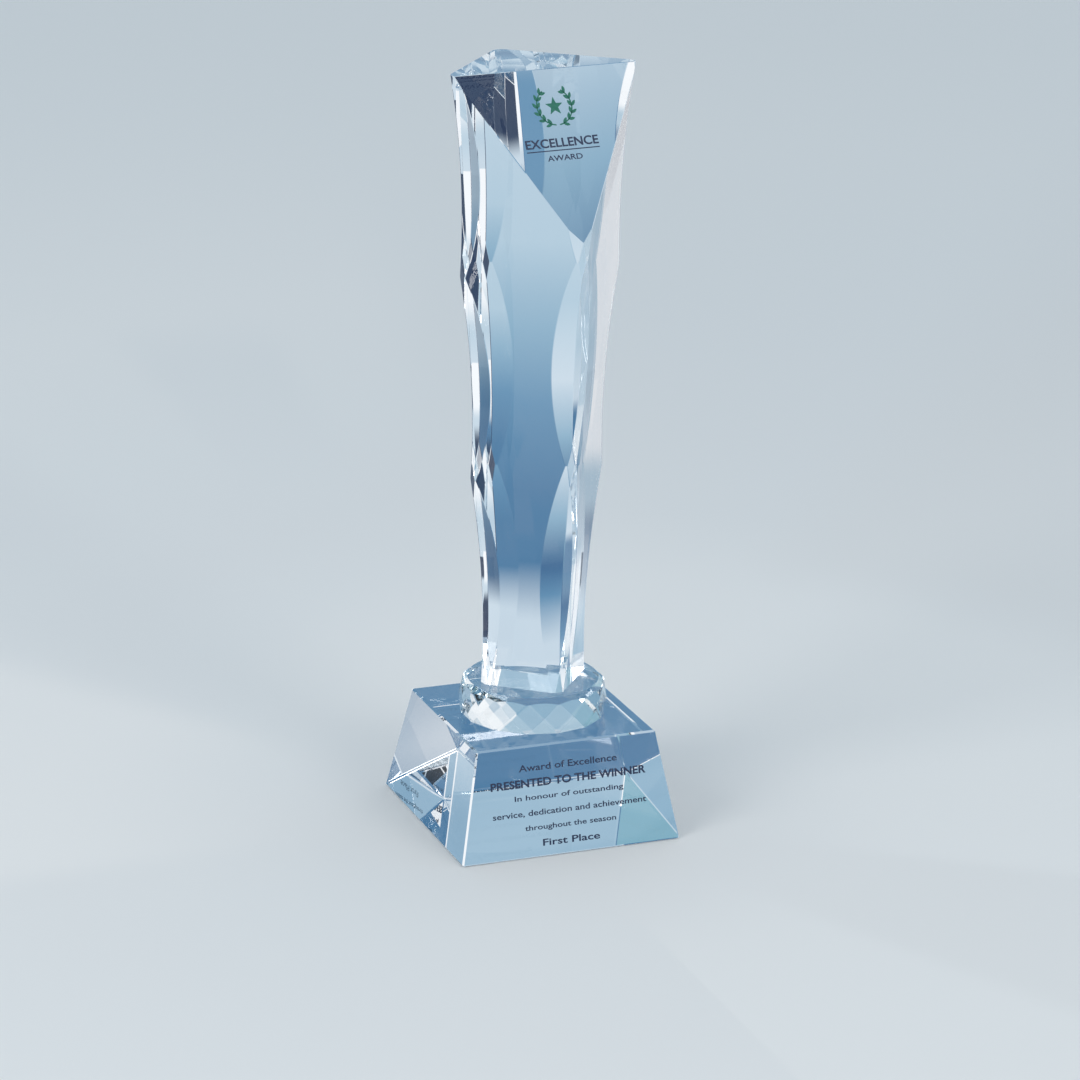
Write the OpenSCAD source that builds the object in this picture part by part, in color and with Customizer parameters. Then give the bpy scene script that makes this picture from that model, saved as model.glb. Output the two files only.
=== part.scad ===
// Crystal award: a faceted column on a gem-cut disc and a square tapered base.
// Millimetres, +Z up, origin at the centre of the base's underside. The inscribed side faces -Y.

/* [Overall] */
// Height from the underside of the base to the top of the column
award_h = 265; // [215:1:320]
// Length of each side of the base where it is widest
base_side = 80; // [72:1:110]

/* [Base block] */
// Length of each side of the base across its top face
base_top = 65.6; // [60:0.2:70]
// Height of the base block
base_h = 38.4; // [32:0.2:60]
// Width of the small polished bevel along the edges
arris = 0.6; // [0.3:0.1:1]

/* [Gem disc] */
// Width of the disc across its opposite diamond facets
disc_d = 50.4; // [47:0.2:58]
// Height of the disc
disc_h = 12.4; // [9:0.2:20]
// Number of diamond facets round the disc
disc_facets = 14; // [12:2:20]
// How far the sloping rim reaches in from the disc's widest girth
rim_in = 2.3; // [1:0.1:3]
// Height of the sloping rim
rim_h = 1.9; // [1:0.1:3]
// Width of the blunt tips of the diamond facets
tip_w = 0.8; // [0.4:0.1:1.5]

/* [Column] */
// Width of the column at its foot, corner to corner before the corners are flattened
foot_diagonal = 42.4; // [36:0.2:45]
// Width of the column at its top, corner to corner before the corners are flattened
top_diagonal = 71.8; // [60:0.2:84]
// Width of the flat ground along each corner
corner_flat = 3.6; // [2.6:0.1:4]
// Turn of the column away from corner to the front, in degrees
column_turn = 6; // [0:0.5:8]

/* [Hollow cuts] */
// Number of hollows one above another along each corner
hollow_rows = 3; // [2:1:4]
// Reach of a hollow over the wide face, from the corner line, at its widest
hollow_reach = 9.7; // [8:0.1:11]
// Reach of a hollow where it meets the next one
cusp_reach = 3; // [3:0.1:3.6]
// Angle between a hollow's face and the corner flat, in degrees
hollow_angle = 27.5; // [22:0.5:32]
// Rise of the meeting points at the side and back corners above even spacing
side_lift = 3; // [0:0.5:6]
// Rise of the meeting points at the front corner above even spacing
front_lift = 12; // [6:0.5:14]

/* [Triangle facet] */
// Height of the inverted triangle cut on the front of the column
facet_drop = 52.6; // [40:0.2:60]
// Distance of the triangle's top edge in front of the column's centre
facet_forward = 1.5; // [1:0.1:4]

/* [Bonds] */
// Thickness of the clear adhesive films
bond_t = 0.1; // [0.1:0.05:0.2]
// Distance that a film stays in from the edge of what it holds
bond_inset = 0.4; // [0.2:0.1:1]

/* [Inscription] */
// Thickness of the colour fill
ink_t = 0.1; // [0.1:0.05:0.2]
// Distance from the base's top edge down to the middle of the first line
first_line_down = 7.6; // [6:0.1:9]
// Distance between the middles of neighbouring lines
line_pitch = 5.3; // [4.6:0.1:5.4]
// Height of the plain lettering
plain_h = 2.4; // [1.8:0.1:2.8]
// Height of the bold lettering in the second line
bold_h = 2.9; // [2.2:0.1:3.2]

/* [Emblem] */
// Distance down the triangle from its top edge to the middle of the emblem
emblem_down = 13; // [11:0.5:16]
// Radius of the wreath's stems
wreath_r = 6.4; // [5:0.1:7.5]
// Number of leaf pairs on each branch of the wreath
leaf_pairs = 6; // [4:1:8]
// Radius of the star's points
star_r = 3.3; // [2:0.1:4]
// Distance down the triangle from its top edge to the middle of the title
title_down = 25.4; // [24:0.2:28]

/* [Hidden] */

$fn = 96;
big = 700;                 // larger than the whole award, for the cutting blocks

// Heights of the joints
lower_bond_z = base_h;
disc_z = lower_bond_z + bond_t;
upper_bond_z = disc_z + disc_h;
foot_z = upper_bond_z + bond_t;
column_h = award_h - foot_z;

// Base
base_run = (base_side - base_top) / 2;
base_lean = atan(base_run / (base_h - arris));
front_azimuth = -90;

// Column
foot_r = foot_diagonal / 2;
top_r = top_diagonal / 2;
corner_lean = atan((top_r - foot_r) / column_h);
face_lean = atan((top_r - foot_r) / sqrt(2) / column_h);
apex_z = award_h - facet_drop;
facet_run = corner_r(apex_z) - corner_flat / 2 - facet_forward;
facet_lean = atan(facet_run / facet_drop);

// Inscription: the length of each centred line, from the top one down
line_lengths = [36, 57, 40, 56.5, 33.5, 21];
title_l = 27;
title_h = 3.1;
rule_h = 0.35;
rule_down = title_down + 2.6;
subtitle_l = 13;
subtitle_h = 1.9;
subtitle_down = title_down + 5.2;

// Distance of the column's corner line from its axis at height z
function corner_r(z) = foot_r + (top_r - foot_r) * (z - foot_z) / column_h;

// Distance from the axis of a face turned hollow_angle from the corner, which reaches
// over the wide face as far as reach
function face_distance(z, reach) =
    corner_r(z) * cos(hollow_angle)
    - reach * (cos(hollow_angle) - sin(hollow_angle)) / sqrt(2);

// Height at which hollow number i of a corner begins, counted from the foot
function cusp_z(i, lift) = foot_z + i * column_h / hollow_rows + (i > 0 ? lift : 0);

// Takes away all that lies outside a plane. The plane's outward normal points to the
// azimuth and leans up by lean, and the plane passes at the given distance from the axis
// at height z.
module outside(azimuth, lean, distance, z) {
    rotate([0, 0, azimuth])
        translate([distance, 0, z])
            rotate([0, -lean, 0])
                translate([0, -big / 2, -big / 2])
                    cube(big);
}

// Lays its children on the front face of the base: X to the right, Y up the slope, Z outward,
// with the origin at the middle of the top edge
module on_front() {
    translate([0, -base_top / 2, base_h])
        rotate([90 - base_lean, 0, 0])
            children();
}

// Lays its children on the triangle facet in the same way
module on_facet() {
    rotate([0, 0, column_turn])
        translate([0, -facet_forward, award_h])
            rotate([90 - facet_lean, 0, 0])
                children();
}

// ---- Base ----

module base_block() {
    slant_edge = base_side / 2 * sqrt(2) - arris / sqrt(2);
    slant_lean = atan(base_run * sqrt(2) / (base_h - arris));
    color([0.86, 0.93, 0.97, 0.5])
    difference() {
        translate([-base_side / 2, -base_side / 2, 0])
            cube([base_side, base_side, base_h]);
        for (side = [0 : 3]) {
            outside(90 * side, base_lean, base_side / 2, arris);
            outside(90 * side, (90 + base_lean) / 2, base_top / 2 + arris * sin(base_lean), base_h - arris);
            outside(90 * side, -45, base_side / 2, arris);
            outside(90 * side + 45, slant_lean, slant_edge, arris);
        }
    }
}

// ---- Gem disc and the films that hold it ----

module gem_disc() {
    half_step = 180 / disc_facets;
    flat_r = disc_d / 2;
    edge_r = flat_r / cos(half_step);
    notch_r = flat_r * cos(half_step) + tip_w / 2 * sin(half_step);
    belt_h = disc_h - rim_h;
    diamond_lean = atan((edge_r - notch_r) / (belt_h / 2));
    notch_w = 2.4 * edge_r * sin(half_step);
    color([0.9, 0.95, 0.98, 0.5])
    translate([0, 0, disc_z])
    difference() {
        intersection() {
            linear_extrude(disc_h)
                polygon([for (i = [0 : disc_facets - 1])
                    edge_r * [cos(half_step * (2 * i + 1) + front_azimuth),
                              sin(half_step * (2 * i + 1) + front_azimuth)]]);
            rotate_extrude()
                polygon([[0, 0], [flat_r + rim_in, 0], [flat_r + rim_in, belt_h - rim_h],
                         [flat_r - rim_in, disc_h], [0, disc_h]]);
        }
        for (i = [0 : disc_facets - 1], up = [-1, 1])
            rotate([0, 0, front_azimuth + half_step * (2 * i + 1)])
                translate([edge_r, 0, belt_h / 2])
                    rotate([0, -up * diamond_lean, 0])
                        translate([0, -notch_w / 2, up > 0 ? 0 : -disc_h])
                            cube([edge_r - notch_r + 3, notch_w, disc_h]);
    }
}

module lower_bond() {
    half_step = 180 / disc_facets;
    color([0.96, 0.97, 0.9, 0.4])
    translate([0, 0, lower_bond_z])
        cylinder(h = bond_t, r = disc_d / 2 * cos(half_step) - bond_inset);
}

module upper_bond() {
    across_faces = foot_diagonal / sqrt(2) - 2 * bond_inset;
    across_flats = foot_diagonal - corner_flat - 2 * bond_inset - 2 * cusp_reach / 3;
    color([0.96, 0.97, 0.9, 0.4])
    translate([0, 0, upper_bond_z])
        rotate([0, 0, column_turn])
            linear_extrude(bond_t)
                intersection() {
                    rotate(45)
                        square(across_faces, center = true);
                    square(across_flats, center = true);
                }
}

// ---- Column ----

// The round-bottomed cuts along one corner, with meeting points raised by lift. Each wheel
// passes through the two meeting points at its ends and is deepest half-way.
module corner_hollows(corner_azimuth, lift) {
    for (side = [-1, 1], i = [0 : hollow_rows - 1]) {
        low_z = cusp_z(i, lift);
        high_z = cusp_z(i + 1, lift);
        low_d = face_distance(low_z, cusp_reach);
        high_d = face_distance(high_z, cusp_reach);
        depth = (hollow_reach - cusp_reach) * (cos(hollow_angle) - sin(hollow_angle)) / sqrt(2);
        half_chord = norm([high_z - low_z, high_d - low_d]) / 2;
        wheel_r = (half_chord * half_chord + depth * depth) / (2 * depth);
        tip = atan((high_d - low_d) / (high_z - low_z));
        rotate([0, 0, corner_azimuth + side * hollow_angle])
            translate([(low_d + high_d) / 2, 0, (low_z + high_z) / 2])
                rotate([0, tip, 0])
                    translate([wheel_r - depth, 0, 0])
                        rotate([90, 0, 0])
                            cylinder(h = 2 * top_r, r = wheel_r, center = true, $fn = 720);
    }
}

module column() {
    color([0.84, 0.92, 0.96, 0.5])
    rotate([0, 0, column_turn])
    difference() {
        translate([-top_r, -top_r, foot_z])
            cube([2 * top_r, 2 * top_r, column_h]);
        for (corner = [0 : 3]) {
            azimuth = front_azimuth + 90 * corner;
            outside(azimuth + 45, -face_lean, foot_r / sqrt(2), foot_z);
            outside(azimuth, -corner_lean, foot_r - corner_flat / 2, foot_z);
            corner_hollows(azimuth, corner == 0 ? front_lift : side_lift);
        }
        outside(front_azimuth, facet_lean, facet_forward, award_h);
    }
}

// ---- Colour-filled inscription on the base and emblem on the triangle ----

// A bar of colour fill of the given length and height, its middle at down below the top edge
module ink_bar(length, height, down) {
    translate([-length / 2, -down - height / 2, 0])
        cube([length, height, ink_t]);
}

module inscription_line(index) {
    color([0.07, 0.1, 0.2])
    on_front()
        ink_bar(line_lengths[index], index == 1 ? bold_h : plain_h, first_line_down + line_pitch * index);
}

// A pointed leaf along +Y with its foot at the origin
module leaf(length, width) {
    bulge = (length * length / 4 + width * width / 4) / width;
    translate([0, length / 2])
        intersection_for (side = [-1, 1])
            translate([side * (bulge - width / 2), 0])
                circle(r = bulge);
}

// One branch of the wreath, on the right for side = 1 and on the left for side = -1
module wreath_branch(side) {
    stem_w = 0.45;
    open_angle = 32;
    start_angle = 12;
    step = (180 - open_angle - start_angle) / leaf_pairs;
    color([0.05, 0.33, 0.24])
    on_facet()
    translate([0, -emblem_down, 0])
    linear_extrude(ink_t)
    mirror([side < 0 ? 1 : 0, 0])
    union() {
        intersection() {
            difference() {
                circle(r = wreath_r + stem_w / 2);
                circle(r = wreath_r - stem_w / 2);
            }
            polygon([for (a = [start_angle / 2 : 15 : 180 - open_angle])
                        2 * wreath_r * [sin(a), -cos(a)], [0, 0]]);
        }
        for (i = [0 : leaf_pairs - 1], out = [-1, 1])
            rotate(start_angle + step * (i + 0.3))
                translate([0, -wreath_r])
                    rotate(-90 + out * 34)
                        leaf(2.5, 1.05);
    }
}

module emblem_star() {
    inner_r = star_r * 0.42;
    color([0.05, 0.33, 0.24])
    on_facet()
    translate([0, -emblem_down, 0])
        linear_extrude(ink_t)
            polygon([for (i = [0 : 9]) (i % 2 == 0 ? star_r : inner_r) * [sin(36 * i), cos(36 * i)]]);
}

module title_bar(length, height, down) {
    color([0.08, 0.1, 0.18])
    on_facet()
        ink_bar(length, height, down);
}

base_block();
lower_bond();
gem_disc();
upper_bond();
column();
inscription_line(0);  // inscription_line_1
inscription_line(1);  // inscription_line_2
inscription_line(2);  // inscription_line_3
inscription_line(3);  // inscription_line_4
inscription_line(4);  // inscription_line_5
inscription_line(5);  // inscription_line_6
wreath_branch(-1);  // emblem_wreath_left
wreath_branch(1);  // emblem_wreath_right
emblem_star();
title_bar(title_l, title_h, title_down);  // title_line
title_bar(title_l, rule_h, rule_down);  // title_rule
title_bar(subtitle_l, subtitle_h, subtitle_down);  // subtitle_line
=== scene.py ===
"""Crystal award: the visible glass, adhesive and colour fill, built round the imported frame.

Three polished blocks of optical crystal stand on each other: a tapered square base, a gem-cut
disc and a hollow-cut column whose front corner ends in an inverted triangle. Every block is
closed, and the patches where two blocks are bonded let light straight through, as the adhesive
does. The inscription and the emblem are thin layers of colour fill on the polished faces.
"""

from __future__ import annotations

import logging
import math
from dataclasses import dataclass
from enum import Enum

import bmesh
import bpy
from mathutils import Matrix, Vector


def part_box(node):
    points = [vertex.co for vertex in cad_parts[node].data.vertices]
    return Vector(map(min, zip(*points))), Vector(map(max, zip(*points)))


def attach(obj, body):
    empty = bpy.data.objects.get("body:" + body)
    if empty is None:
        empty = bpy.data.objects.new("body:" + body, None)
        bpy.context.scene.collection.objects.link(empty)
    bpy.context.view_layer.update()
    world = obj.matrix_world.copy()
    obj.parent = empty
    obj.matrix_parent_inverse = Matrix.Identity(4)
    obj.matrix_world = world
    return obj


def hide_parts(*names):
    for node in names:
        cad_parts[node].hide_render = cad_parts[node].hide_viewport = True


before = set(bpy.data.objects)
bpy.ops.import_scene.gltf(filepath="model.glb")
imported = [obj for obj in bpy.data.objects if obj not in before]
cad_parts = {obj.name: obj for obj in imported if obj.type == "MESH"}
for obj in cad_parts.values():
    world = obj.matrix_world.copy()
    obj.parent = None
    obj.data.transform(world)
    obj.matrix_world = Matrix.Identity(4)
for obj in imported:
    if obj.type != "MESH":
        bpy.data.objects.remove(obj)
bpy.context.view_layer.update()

log = logging.getLogger("crystal_award")

MM = 0.001
ROOT = "root"

# The base and the column are square. Directions are angles from +X, and the front faces -Y.
SIDES = 4
QUARTER = 2 * math.pi / SIDES
FRONT = -QUARTER

# Points closer than WELD are one. A level face's normal is at least LEVEL upright.
WELD = 1e-7
LEVEL = 0.9999

# The crystal's faces under or over adhesive take the second slot of their piece.
BOND_SLOT = 1

# Edges of the films and the colour fill that turn by more than this stay sharp.
LAYER_CREASE_DEG = 30.0

Point2 = tuple[float, float]

# A point on the plane, and its outward normal.
Plane = tuple[Vector, Vector]


# ---------------------------------------------------------------------------
# Node and mesh helpers
# ---------------------------------------------------------------------------


def add_node(tree: bpy.types.NodeTree, kind: str, **settings: object) -> bpy.types.Node:
    """Adds one node to a tree.

    Args:
        tree: The material, world or geometry tree.
        kind: The node's type name.
        settings: Properties to set on the node.

    Returns:
        The new node.
    """
    node = tree.nodes.new(kind)
    for name, value in settings.items():
        setattr(node, name, value)
    return node


def math_node(
    tree: bpy.types.NodeTree, operation: str, *values: bpy.types.NodeSocket | float
) -> bpy.types.NodeSocket:
    """Adds a Math node whose inputs are numbers or sockets.

    Args:
        tree: The tree that gets the node.
        operation: The Math node's operation.
        values: A number or an output socket for each input, in order.

    Returns:
        The node's output socket.
    """
    node = add_node(tree, "ShaderNodeMath", operation=operation)
    for socket, value in zip(node.inputs, values):
        if isinstance(value, bpy.types.NodeSocket):
            tree.links.new(value, socket)
        else:
            socket.default_value = value
    return node.outputs[0]


def new_material(name: str) -> tuple[bpy.types.Material, bpy.types.NodeTree, bpy.types.Node]:
    """Makes an empty node material.

    Args:
        name: The material's name.

    Returns:
        The material, its tree and its output node.
    """
    material = bpy.data.materials.new(name)
    material.use_nodes = True
    tree = material.node_tree
    tree.nodes.clear()
    return material, tree, add_node(tree, "ShaderNodeOutputMaterial")


def link_object(mesh: bpy.types.Mesh, name: str, *materials: bpy.types.Material) -> bpy.types.Object:
    """Puts a mesh in the scene as an object at the origin.

    Args:
        mesh: The finished mesh.
        name: The object's name.
        materials: The materials for its slots, in order.

    Returns:
        The new object.
    """
    mesh.name = name
    mesh.materials.clear()
    for material in materials:
        mesh.materials.append(material)
    piece = bpy.data.objects.new(name, mesh)
    bpy.context.scene.collection.objects.link(piece)
    return piece


def to_mesh(bm: bmesh.types.BMesh, crease_deg: float) -> bpy.types.Mesh:
    """Turns a bmesh into a mesh with outward normals, smooth except across creases.

    Args:
        bm: The solid; it is freed.
        crease_deg: Edges that turn by more than this stay sharp.

    Returns:
        The mesh.
    """
    bmesh.ops.recalc_face_normals(bm, faces=bm.faces)
    limit = math.radians(crease_deg)
    for face in bm.faces:
        face.smooth = True
    for edge in bm.edges:
        edge.smooth = edge.is_manifold and edge.calc_face_angle(math.pi) < limit
    mesh = bpy.data.meshes.new("solid")
    bm.to_mesh(mesh)
    bm.free()
    return mesh


def leaning_plane(azimuth: float, lean: float, distance: float, z: float) -> Plane:
    """Describes a plane by its outward normal and its distance from the vertical axis.

    Args:
        azimuth: Direction of the normal seen from above, in radians.
        lean: How far the normal leans up, in radians.
        distance: Distance of the plane from the axis at height z.
        z: That height.

    Returns:
        A point on the plane and the outward normal.
    """
    out = Vector((math.cos(azimuth), math.sin(azimuth), 0))
    normal = out * math.cos(lean) + Vector((0, 0, math.sin(lean)))
    return out * distance + Vector((0, 0, z)), normal


def cut_off(bm: bmesh.types.BMesh, point: Vector, normal: Vector) -> None:
    """Takes away what lies outside a plane and closes the solid again.

    Args:
        bm: The solid.
        point: A point on the plane.
        normal: The plane's outward normal.
    """
    geometry = bm.verts[:] + bm.edges[:] + bm.faces[:]
    result = bmesh.ops.bisect_plane(
        bm, geom=geometry, dist=WELD, plane_co=point, plane_no=normal, clear_outer=True
    )
    rim = [item for item in result["geom_cut"] if isinstance(item, bmesh.types.BMEdge)]
    if rim:
        bmesh.ops.edgenet_fill(bm, edges=rim)


def break_edge(
    bm: bmesh.types.BMesh, point: Vector, first: Vector, second: Vector, width: float
) -> None:
    """Grinds a narrow polished bevel along the edge between two flat faces.

    Args:
        bm: The solid.
        point: A point on the sharp edge.
        first: Outward normal of one face.
        second: Outward normal of the other face.
        width: Distance that the bevel reaches over each face.
    """
    middle = (first + second).normalized()
    inset = width * math.sin(first.angle(second) / 2)
    cut_off(bm, point - middle * inset, middle)


def meeting_point(planes: list[Plane]) -> Vector:
    """Finds the point that three planes share.

    Args:
        planes: Three planes, each a point and a normal.

    Returns:
        The shared point.
    """
    rows = Matrix([normal for _, normal in planes])
    return rows.inverted() @ Vector([point.dot(normal) for point, normal in planes])


def circle_points(radius: float, count: int, start: float = 0.0) -> list[Point2]:
    """Lists evenly spaced points round a circle, from the angle start."""
    turns = [start + 2 * math.pi * i / count for i in range(count)]
    return [(radius * math.cos(a), radius * math.sin(a)) for a in turns]


def patch_flat_face(
    bm: bmesh.types.BMesh, rim: list[bmesh.types.BMVert], patch: list[Point2], z: float
) -> None:
    """Closes a flat opening with a ring of crystal and a bonded patch inside it.

    Args:
        bm: The solid with a flat opening.
        rim: The opening's vertices.
        patch: The patch's outline, inside the opening; its face gets the bond's slot.
        z: Height of the opening.
    """
    corners = set(rim)
    outer = [e for e in bm.edges if e.is_boundary and corners.issuperset(e.verts)]
    points = [bm.verts.new((x, y, z)) for x, y in patch]
    inner = [bm.edges.new((a, b)) for a, b in zip(points, points[1:] + points[:1])]
    bmesh.ops.triangle_fill(bm, use_beauty=True, edges=outer + inner)
    bm.faces.new(points).material_index = BOND_SLOT


def open_flat_face(bm: bmesh.types.BMesh, up: bool) -> tuple[list[bmesh.types.BMVert], float]:
    """Removes the top or bottom face of a solid.

    Args:
        bm: The solid.
        up: True for its top face, False for its bottom face.

    Returns:
        The vertices round the opening and their height.
    """
    bm.normal_update()
    sign = 1 if up else -1
    flat = [f for f in bm.faces if abs(f.normal.z) > LEVEL]
    face = max(flat, key=lambda f: sign * f.calc_center_median().z)
    rim, z = face.verts[:], face.calc_center_median().z
    bmesh.ops.delete(bm, geom=[face], context="FACES_ONLY")
    return rim, z


def grow(
    mesh: bpy.types.Mesh,
    tree: bpy.types.NodeTree,
    settings: dict[bpy.types.NodeTreeInterfaceSocket, object],
) -> bpy.types.Mesh:
    """Runs a Geometry Nodes tree on a mesh and keeps the plain result.

    Args:
        mesh: The mesh that the tree starts from.
        tree: The tree.
        settings: The value for each of the tree's input sockets.

    Returns:
        A plain mesh.
    """
    holder = bpy.data.objects.new("holder", mesh)
    bpy.context.scene.collection.objects.link(holder)
    modifier = holder.modifiers.new("grow", "NODES")
    modifier.node_group = tree
    for socket, value in settings.items():
        modifier[socket.identifier] = value
    bpy.context.view_layer.update()
    grown = holder.evaluated_get(bpy.context.evaluated_depsgraph_get())
    result = bpy.data.meshes.new_from_object(grown)
    holder.modifiers.remove(modifier)
    bpy.data.objects.remove(holder)
    return result


def film_radius() -> float:
    """Gives the radius of the round film between the base and the disc."""
    low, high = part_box("lower_bond")
    return (high.x - low.x) / 2


# ---------------------------------------------------------------------------
# Finishes
# ---------------------------------------------------------------------------


@dataclass(frozen=True)
class CrystalFinish:
    """Polished optical crystal with the faint, uneven haze of hand polishing."""

    name: str = "polished_crystal"
    tint: tuple[float, float, float] = (0.955, 0.985, 1.0)
    ior: float = 1.52
    haze_peak: float = 0.048
    haze_contrast: float = 4.0
    polish_scale: float = 55.0
    polish_detail: float = 3.0

    def material(self) -> bpy.types.Material:
        """Builds the crystal's material.

        Returns:
            A refractive material whose roughness and tint vary faintly.
        """
        material, tree, output = new_material(self.name)
        surface = add_node(tree, "ShaderNodeBsdfPrincipled")
        surface.inputs["Transmission Weight"].default_value = 1.0
        surface.inputs["IOR"].default_value = self.ior
        place = add_node(tree, "ShaderNodeTexCoord")
        haze = add_node(tree, "ShaderNodeTexNoise")
        haze.inputs["Scale"].default_value = self.polish_scale
        haze.inputs["Detail"].default_value = self.polish_detail
        tree.links.new(place.outputs["Object"], haze.inputs["Vector"])
        marks = math_node(tree, "POWER", haze.outputs["Fac"], self.haze_contrast)
        rough = math_node(tree, "MULTIPLY", marks, self.haze_peak)
        tree.links.new(rough, surface.inputs["Roughness"])
        body = add_node(tree, "ShaderNodeMix", data_type="RGBA")
        body.inputs["A"].default_value = (*self.tint, 1.0)
        body.inputs["B"].default_value = (1.0, 1.0, 1.0, 1.0)
        tree.links.new(haze.outputs["Fac"], body.inputs["Factor"])
        tree.links.new(body.outputs["Result"], surface.inputs["Base Color"])
        tree.links.new(surface.outputs["BSDF"], output.inputs["Surface"])
        return material


@dataclass(frozen=True)
class BondFinish:
    """Clear cured adhesive, which matches the crystal and so bends no light."""

    name: str = "clear_adhesive"
    clear: tuple[float, float, float] = (1.0, 1.0, 0.995)
    cloudy: tuple[float, float, float] = (0.95, 0.965, 0.96)
    cloud_scale: float = 180.0

    def material(self) -> bpy.types.Material:
        """Builds the adhesive's material.

        Returns:
            A see-through material with faint clouding.
        """
        material, tree, output = new_material(self.name)
        place = add_node(tree, "ShaderNodeTexCoord")
        cloud = add_node(tree, "ShaderNodeTexNoise")
        cloud.inputs["Scale"].default_value = self.cloud_scale
        tree.links.new(place.outputs["Object"], cloud.inputs["Vector"])
        shade = add_node(tree, "ShaderNodeMix", data_type="RGBA")
        shade.inputs["A"].default_value = (*self.clear, 1.0)
        shade.inputs["B"].default_value = (*self.cloudy, 1.0)
        tree.links.new(cloud.outputs["Fac"], shade.inputs["Factor"])
        film = add_node(tree, "ShaderNodeBsdfTransparent")
        tree.links.new(shade.outputs["Result"], film.inputs["Color"])
        tree.links.new(film.outputs["BSDF"], output.inputs["Surface"])
        return material


@dataclass(frozen=True)
class FillFinish:
    """Colour fill: a satin lacquer with a slightly uneven, brushed-out surface."""

    name: str
    color: tuple[float, float, float]
    worn: tuple[float, float, float]
    roughness_low: float = 0.28
    roughness_spread: float = 0.2
    grain_scale: float = 900.0
    grain_detail: float = 4.0
    grain_strength: float = 0.15
    grain_height: float = 0.02 * MM

    def material(self) -> bpy.types.Material:
        """Builds the lacquer's material.

        Returns:
            A satin material with varied colour and a fine grain.
        """
        material, tree, output = new_material(self.name)
        surface = add_node(tree, "ShaderNodeBsdfPrincipled")
        place = add_node(tree, "ShaderNodeTexCoord")
        grain = add_node(tree, "ShaderNodeTexNoise")
        grain.inputs["Scale"].default_value = self.grain_scale
        grain.inputs["Detail"].default_value = self.grain_detail
        tree.links.new(place.outputs["Object"], grain.inputs["Vector"])
        shade = add_node(tree, "ShaderNodeMix", data_type="RGBA")
        shade.inputs["A"].default_value = (*self.color, 1.0)
        shade.inputs["B"].default_value = (*self.worn, 1.0)
        tree.links.new(grain.outputs["Fac"], shade.inputs["Factor"])
        tree.links.new(shade.outputs["Result"], surface.inputs["Base Color"])
        spread = math_node(tree, "MULTIPLY", grain.outputs["Fac"], self.roughness_spread)
        rough = math_node(tree, "ADD", spread, self.roughness_low)
        tree.links.new(rough, surface.inputs["Roughness"])
        bump = add_node(tree, "ShaderNodeBump")
        bump.inputs["Strength"].default_value = self.grain_strength
        bump.inputs["Distance"].default_value = self.grain_height
        tree.links.new(grain.outputs["Fac"], bump.inputs["Height"])
        tree.links.new(bump.outputs["Normal"], surface.inputs["Normal"])
        tree.links.new(surface.outputs["BSDF"], output.inputs["Surface"])
        return material


CRYSTAL = CrystalFinish()
BOND = BondFinish()
NAVY_FILL = FillFinish("navy_colour_fill", (0.012, 0.018, 0.05), (0.03, 0.045, 0.1))
GREEN_FILL = FillFinish("green_colour_fill", (0.01, 0.12, 0.075), (0.02, 0.19, 0.12))


class Slot(Enum):
    """The record's material slots."""

    CRYSTAL = "crystal"
    ADHESIVE = "adhesive"
    NAVY = "navy_fill"
    GREEN = "green_fill"


def stand_for(piece: bpy.types.Object, slot: Slot, *nodes: str) -> None:
    """Makes a piece ride on the award and stand for its CAD nodes.

    Args:
        piece: The finished piece.
        slot: The record's slot that it takes its finish from; not used.
        nodes: The CAD nodes that it replaces.
    """
    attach(piece, ROOT)
    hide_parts(*nodes)
    log.info("%s: %d faces, stands for %s", piece.name, len(piece.data.polygons), ", ".join(nodes))


# ---------------------------------------------------------------------------
# The three crystal blocks and the films between them
# ---------------------------------------------------------------------------


@dataclass
class BaseBlock:
    """The tapered square base."""

    crystal: bpy.types.Material
    bond: bpy.types.Material
    top_side: float = 65.6 * MM
    arris: float = 0.6 * MM
    patch_sides: int = 112
    crease_deg: float = 1.0

    def __post_init__(self) -> None:
        """Reads the block's place from the frame."""
        low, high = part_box("base_block")
        self.side = high.x - low.x
        self.height = high.z
        self.lean = math.atan((self.side - self.top_side) / 2 / (self.height - self.arris))

    def build(self) -> bpy.types.Object:
        """Cuts the block and leaves a bonded patch under the disc.

        Returns:
            The finished piece.
        """
        half_side, half_top = self.side / 2, self.top_side / 2
        shoulder = self.height - self.arris
        shoulder_out = half_top + self.arris * math.sin(self.lean)
        shoulder_lean = (math.pi / 2 + self.lean) / 2
        corner_out = (self.side - self.arris) / math.sqrt(2)
        corner_lean = math.atan((half_side - half_top) * math.sqrt(2) / shoulder)
        bm = bmesh.new()
        bmesh.ops.create_cube(bm, size=1.0)
        bmesh.ops.scale(bm, vec=(self.side, self.side, self.height), verts=bm.verts)
        bmesh.ops.translate(bm, vec=(0, 0, self.height / 2), verts=bm.verts)
        for side in range(SIDES):
            out = side * QUARTER
            cut_off(bm, *leaning_plane(out, self.lean, half_side, self.arris))
            cut_off(bm, *leaning_plane(out, shoulder_lean, shoulder_out, shoulder))
            cut_off(bm, *leaning_plane(out, -QUARTER / 2, half_side, self.arris))
            cut_off(bm, *leaning_plane(out + QUARTER / 2, corner_lean, corner_out, self.arris))
        rim, z = open_flat_face(bm, up=True)
        patch_flat_face(bm, rim, circle_points(film_radius(), self.patch_sides), z)
        mesh = to_mesh(bm, self.crease_deg)
        piece = link_object(mesh, "base_block_crystal", self.crystal, self.bond)
        stand_for(piece, Slot.CRYSTAL, "base_block")
        return piece

    def face_frame(self) -> Matrix:
        """Gives the frame of the front face: X right, Y up the slope, origin mid top edge."""
        place = Matrix.Translation((0, -self.top_side / 2, self.height))
        return place @ Matrix.Rotation(math.pi / 2 - self.lean, 4, "X")


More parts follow.
